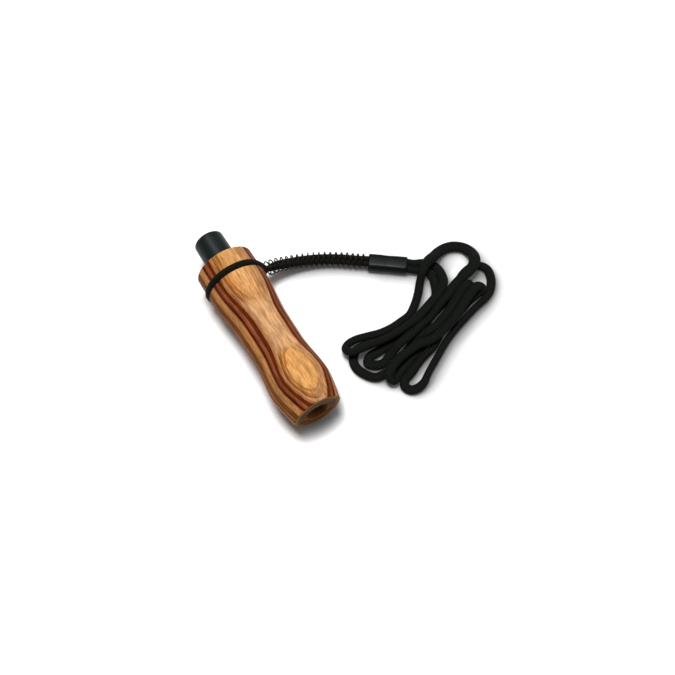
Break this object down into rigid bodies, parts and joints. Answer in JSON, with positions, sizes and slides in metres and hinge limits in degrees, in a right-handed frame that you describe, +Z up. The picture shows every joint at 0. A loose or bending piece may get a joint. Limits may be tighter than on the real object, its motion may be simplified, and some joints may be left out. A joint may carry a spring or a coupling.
{
  "type": "bird call",
  "caption": "Turned wooden bird call with a push-in reed mouthpiece, a waisted barrel with a flared bell, and a noose lanyard that lies folded on the table.",
  "frame": {"origin": "on the table, under the middle of the call, which lies on its side; the lanyard is left out of account", "axes": "+X along the call's axis towards the bell, +Y towards the lanyard, +Z up"},
  "size_m": [0.1271, 0.1417, 0.0332],
  "materials": {
    "laminated_wood": "satin lacquer over dyed veneers",
    "black_plastic": "satin gloss",
    "seal_rubber": "smooth",
    "board_plastic": "satin",
    "reed_film": "polished film",
    "cork": "cut cork",
    "noose_braid": "tight braid",
    "black_wire": "gloss black coat",
    "sleeve_plastic": "glossy",
    "neck_braid": "soft braid"
  },
  "bodies": {
    "barrel_and_lanyard": {"barrel": "laminated_wood", "noose_cord": "noose_braid", "coil_spring": "black_wire", "sleeve": "sleeve_plastic", "neck_cord_outer_end": "neck_braid", "neck_cord_hank": "neck_braid", "neck_cord_inner_end": "neck_braid"},
    "insert": {"mouthpiece": "black_plastic", "front_o_ring": "seal_rubber", "rear_o_ring": "seal_rubber", "tone_board": "board_plastic", "wedge": "cork"},
    "reed_strip": {"reed": "reed_film"}
  },
  "joints": [
    {"name": "insert_pull", "type": "slide", "parent": "barrel_and_lanyard", "child": "insert", "axis": [-1, 0, 0], "range_m": [0, 0.032]},
    {"name": "reed_flex", "type": "hinge", "parent": "insert", "child": "reed_strip", "pos_m": [-0.028, 0, 0.01702], "axis": [0, -1, 0], "range_deg": [0, 2.2], "stiffness_Nm_per_rad": 0.0158}
  ]
}
